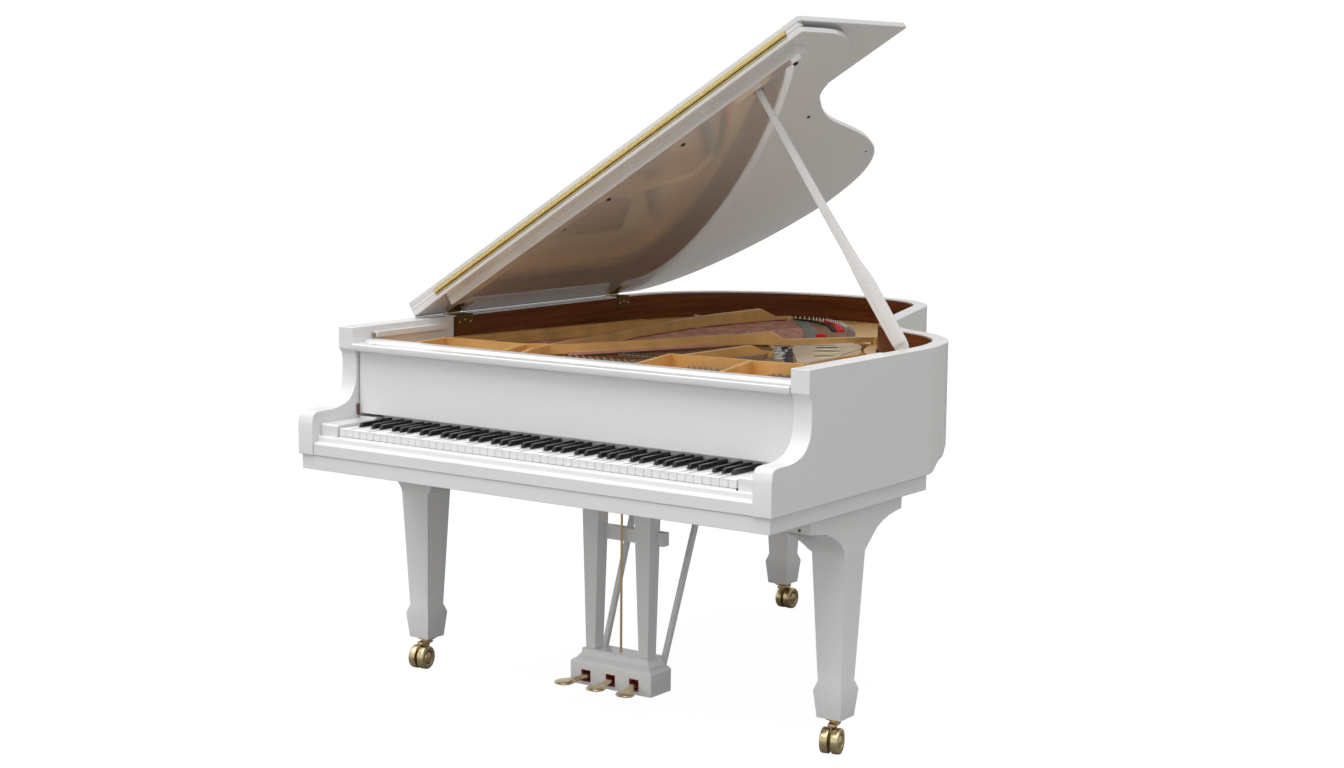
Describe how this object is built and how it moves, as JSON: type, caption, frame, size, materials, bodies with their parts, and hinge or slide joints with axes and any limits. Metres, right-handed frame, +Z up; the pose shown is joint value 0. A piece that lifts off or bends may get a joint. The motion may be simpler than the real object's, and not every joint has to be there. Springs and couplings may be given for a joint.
{
  "type": "grand piano",
  "caption": "White baby grand piano with raised lid on its prop, folded front flap, full keyboard, gold iron plate, pedal lyre and square tapered legs on brass casters.",
  "frame": {"origin": "on the floor under the middle of the whole object's footprint, lid open", "axes": "+Z up, +X to the treble side, +Y from the player to the tail"},
  "size_m": [1.4737, 1.8723, 1.7637],
  "materials": {
    "white_lacquer": "polished white polyester lacquer",
    "mahogany": "satin mahogany veneer",
    "beech": "bare laminated beech",
    "spruce": "satin varnished spruce",
    "plate_gold": "bronze gold paint",
    "strings": "steel and copper wire",
    "felt": "wool felt",
    "key_white": "polished",
    "key_black": "satin",
    "brass": "polished"
  },
  "bodies": {
    "case": {"outer_rim": "white_lacquer", "inner_rim": "beech", "rim_veneer": "mahogany", "keybed": "white_lacquer", "key_slip": "white_lacquer", "cheek_left": "white_lacquer", "cheek_right": "white_lacquer", "top_rail": "white_lacquer", "desk_slide_left": "white_lacquer", "desk_slide_right": "white_lacquer", "iron_plate": "plate_gold", "soundboard": "spruce", "strings": "strings", "hinge_front_rim_leaf": "brass", "hinge_rear_rim_leaf": "brass", "prop_bracket": "brass", "leg_front_left": "white_lacquer", "leg_front_right": "white_lacquer", "leg_rear": "white_lacquer", "lyre_frame": "white_lacquer", "lyre_box": "white_lacquer", "lyre_braces": "white_lacquer"},
    "lid": {"lid_main": "white_lacquer", "hinge_front_lid_leaf": "brass", "hinge_rear_lid_leaf": "brass", "flap_hinge_rear_leaf": "brass"},
    "front_flap": {"lid_flap": "white_lacquer", "flap_hinge_front_leaf": "brass"},
    "prop": {"lid_prop": "white_lacquer"},
    "fallboard": {"fallboard": "white_lacquer"},
    "key_frame": {"key_frame": "beech"},
    "bass_whites": {"keys_white_bass": "key_white"},
    "bass_blacks": {"keys_black_bass": "key_black"},
    "treble_whites": {"keys_white_treble": "key_white"},
    "treble_blacks": {"keys_black_treble": "key_black"},
    "key_C4": {"key_C4": "key_white"},
    "key_Cs4": {"key_Cs4": "key_black"},
    "key_D4": {"key_D4": "key_white"},
    "key_Ds4": {"key_Ds4": "key_black"},
    "key_E4": {"key_E4": "key_white"},
    "key_F4": {"key_F4": "key_white"},
    "key_Fs4": {"key_Fs4": "key_black"},
    "key_G4": {"key_G4": "key_white"},
    "key_Gs4": {"key_Gs4": "key_black"},
    "key_A4": {"key_A4": "key_white"},
    "key_As4": {"key_As4": "key_black"},
    "key_B4": {"key_B4": "key_white"},
    "pedal_left": {"pedal_left": "brass"},
    "rod_left": {"pedal_rod_left": "brass"},
    "pedal_middle": {"pedal_middle": "brass"},
    "rod_middle": {"pedal_rod_middle": "brass"},
    "pedal_right": {"pedal_right": "brass"},
    "rod_right": {"pedal_rod_right": "brass"},
    "dampers": {"damper_set": "felt"},
    "fork_front_left": {"caster_fork_front_left": "brass"},
    "wheel_front_left": {"caster_wheel_front_left": "brass"},
    "fork_front_right": {"caster_fork_front_right": "brass"},
    "wheel_front_right": {"caster_wheel_front_right": "brass"},
    "fork_rear": {"caster_fork_rear": "brass"},
    "wheel_rear": {"caster_wheel_rear": "brass"}
  },
  "joints": [
    {"name": "lid_hinge", "type": "hinge", "parent": "case", "child": "lid", "pos_m": [-0.7187, 0.0538, 0.9625], "axis": [0, -1, 0], "range_deg": [0, 50]},
    {"name": "flap_fold", "type": "hinge", "parent": "lid", "child": "front_flap", "pos_m": [-0.10821, -0.4902, 1.36332], "axis": [0.8517, 0, 0.524], "range_deg": [0, 180]},
    {"name": "prop_fold", "type": "hinge", "parent": "case", "child": "prop", "pos_m": [0.6808, -0.2426, 0.9477], "axis": [0.2215, -0.9752, 0], "range_deg": [0, 58.5]},
    {"name": "fallboard_hinge", "type": "hinge", "parent": "case", "child": "fallboard", "pos_m": [0.0098, -0.7492, 0.745], "axis": [1, 0, 0], "range_deg": [0, 88]},
    {"name": "keyboard_shift", "type": "slide", "parent": "case", "child": "key_frame", "axis": [1, 0, 0], "range_m": [0, 0.0025]},
    {"name": "bass_whites_press", "type": "hinge", "parent": "key_frame", "child": "bass_whites", "pos_m": [-0.3302, -0.6812, 0.6925], "axis": [1, 0, 0], "range_deg": [0, 2.6], "stiffness_Nm_per_rad": 150, "springref_deg": -3.44},
    {"name": "bass_blacks_press", "type": "hinge", "parent": "key_frame", "child": "bass_blacks", "pos_m": [-0.3302, -0.6812, 0.6925], "axis": [1, 0, 0], "range_deg": [0, 2.6], "stiffness_Nm_per_rad": 60, "springref_deg": -3.44},
    {"name": "treble_whites_press", "type": "hinge", "parent": "key_frame", "child": "treble_whites", "pos_m": [0.3598, -0.6812, 0.6925], "axis": [1, 0, 0], "range_deg": [0, 2.6], "stiffness_Nm_per_rad": 150, "springref_deg": -3.44},
    {"name": "treble_blacks_press", "type": "hinge", "parent": "key_frame", "child": "treble_blacks", "pos_m": [0.3598, -0.6812, 0.6925], "axis": [1, 0, 0], "range_deg": [0, 2.6], "stiffness_Nm_per_rad": 60, "springref_deg": -3.44},
    {"name": "key_C4_press", "type": "hinge", "parent": "key_frame", "child": "key_C4", "pos_m": [-0.0502, -0.6812, 0.6925], "axis": [1, 0, 0], "range_deg": [0, 2.6], "stiffness_Nm_per_rad": 10, "springref_deg": -3.44},
    {"name": "key_Cs4_press", "type": "hinge", "parent": "key_frame", "child": "key_Cs4", "pos_m": [-0.0365, -0.6812, 0.6925], "axis": [1, 0, 0], "range_deg": [0, 2.6], "stiffness_Nm_per_rad": 10, "springref_deg": -3.44},
    {"name": "key_D4_press", "type": "hinge", "parent": "key_frame", "child": "key_D4", "pos_m": [-0.0228, -0.6812, 0.6925], "axis": [1, 0, 0], "range_deg": [0, 2.6], "stiffness_Nm_per_rad": 10, "springref_deg": -3.44},
    {"name": "key_Ds4_press", "type": "hinge", "parent": "key_frame", "child": "key_Ds4", "pos_m": [-0.0091, -0.6812, 0.6925], "axis": [1, 0, 0], "range_deg": [0, 2.6], "stiffness_Nm_per_rad": 10, "springref_deg": -3.44},
    {"name": "key_E4_press", "type": "hinge", "parent": "key_frame", "child": "key_E4", "pos_m": [0.0046, -0.6812, 0.6925], "axis": [1, 0, 0], "range_deg": [0, 2.6], "stiffness_Nm_per_rad": 10, "springref_deg": -3.44},
    {"name": "key_F4_press", "type": "hinge", "parent": "key_frame", "child": "key_F4", "pos_m": [0.0183, -0.6812, 0.6925], "axis": [1, 0, 0], "range_deg": [0, 2.6], "stiffness_Nm_per_rad": 10, "springref_deg": -3.44},
    {"name": "key_Fs4_press", "type": "hinge", "parent": "key_frame", "child": "key_Fs4", "pos_m": [0.032, -0.6812, 0.6925], "axis": [1, 0, 0], "range_deg": [0, 2.6], "stiffness_Nm_per_rad": 10, "springref_deg": -3.44},
    {"name": "key_G4_press", "type": "hinge", "parent": "key_frame", "child": "key_G4", "pos_m": [0.0457, -0.6812, 0.6925], "axis": [1, 0, 0], "range_deg": [0, 2.6], "stiffness_Nm_per_rad": 10, "springref_deg": -3.44},
    {"name": "key_Gs4_press", "type": "hinge", "parent": "key_frame", "child": "key_Gs4", "pos_m": [0.0594, -0.6812, 0.6925], "axis": [1, 0, 0], "range_deg": [0, 2.6], "stiffness_Nm_per_rad": 10, "springref_deg": -3.44},
    {"name": "key_A4_press", "type": "hinge", "parent": "key_frame", "child": "key_A4", "pos_m": [0.0731, -0.6812, 0.6925], "axis": [1, 0, 0], "range_deg": [0, 2.6], "stiffness_Nm_per_rad": 10, "springref_deg": -3.44},
    {"name": "key_As4_press", "type": "hinge", "parent": "key_frame", "child": "key_As4", "pos_m": [0.0868, -0.6812, 0.6925], "axis": [1, 0, 0], "range_deg": [0, 2.6], "stiffness_Nm_per_rad": 10, "springref_deg": -3.44},
    {"name": "key_B4_press", "type": "hinge", "parent": "key_frame", "child": "key_B4", "pos_m": [0.1005, -0.6812, 0.6925], "axis": [1, 0, 0], "range_deg": [0, 2.6], "stiffness_Nm_per_rad": 10, "springref_deg": -3.44},
    {"name": "pedal_left_press", "type": "hinge", "parent": "case", "child": "pedal_left", "pos_m": [-0.0692, -0.5262, 0.0735], "axis": [1, 0, 0], "range_deg": [0, 7], "stiffness_Nm_per_rad": 15, "springref_deg": -8.59},
    {"name": "pedal_middle_press", "type": "hinge", "parent": "case", "child": "pedal_middle", "pos_m": [0.0098, -0.5262, 0.0735], "axis": [1, 0, 0], "range_deg": [0, 7], "stiffness_Nm_per_rad": 15, "springref_deg": -8.59},
    {"name": "pedal_right_press", "type": "hinge", "parent": "case", "child": "pedal_right", "pos_m": [0.0848, -0.5262, 0.0735], "axis": [1, 0, 0], "range_deg": [0, 7], "stiffness_Nm_per_rad": 15, "springref_deg": -8.59},
    {"name": "rod_left_lift", "type": "slide", "parent": "case", "child": "rod_left", "axis": [0, 0, 1], "range_m": [0, 0.0052]},
    {"name": "rod_middle_lift", "type": "slide", "parent": "case", "child": "rod_middle", "axis": [0, 0, 1], "range_m": [0, 0.0026]},
    {"name": "rod_right_lift", "type": "slide", "parent": "case", "child": "rod_right", "axis": [0, 0, 1], "range_m": [0, 0.0052]},
    {"name": "damper_lift", "type": "slide", "parent": "case", "child": "dampers", "axis": [0, 0, 1], "range_m": [0, 0.005]},
    {"name": "swivel_front_left", "type": "hinge", "parent": "case", "child": "fork_front_left", "pos_m": [-0.6462, -0.5206, 0.0847], "axis": [0, 0, 1], "continuous": true},
    {"name": "roll_front_left", "type": "hinge", "parent": "fork_front_left", "child": "wheel_front_left", "pos_m": [-0.64258, -0.54635, 0.032], "axis": [0.9903, 0.1392, 0], "continuous": true},
    {"name": "swivel_front_right", "type": "hinge", "parent": "case", "child": "fork_front_right", "pos_m": [0.6658, -0.5206, 0.0847], "axis": [0, 0, 1], "continuous": true},
    {"name": "roll_front_right", "type": "hinge", "parent": "fork_front_right", "child": "wheel_front_right", "pos_m": [0.67253, -0.54571, 0.032], "axis": [0.9659, 0.2588, 0], "continuous": true},
    {"name": "swivel_rear", "type": "hinge", "parent": "case", "child": "fork_rear", "pos_m": [-0.2252, 0.6538, 0.0847], "axis": [0, 0, 1], "continuous": true},
    {"name": "roll_rear", "type": "hinge", "parent": "fork_rear", "child": "wheel_rear", "pos_m": [-0.2252, 0.6798, 0.032], "axis": [1, 0, 0], "continuous": true}
  ],
  "couplings": [
    {"joint": "rod_left_lift", "follows": "pedal_left_press", "m_per_rad": 0.0415},
    {"joint": "rod_middle_lift", "follows": "pedal_middle_press", "m_per_rad": 0.02},
    {"joint": "rod_right_lift", "follows": "pedal_right_press", "m_per_rad": 0.0415},
    {"joint": "damper_lift", "follows": "pedal_right_press", "m_per_rad": 0.04}
  ]
}
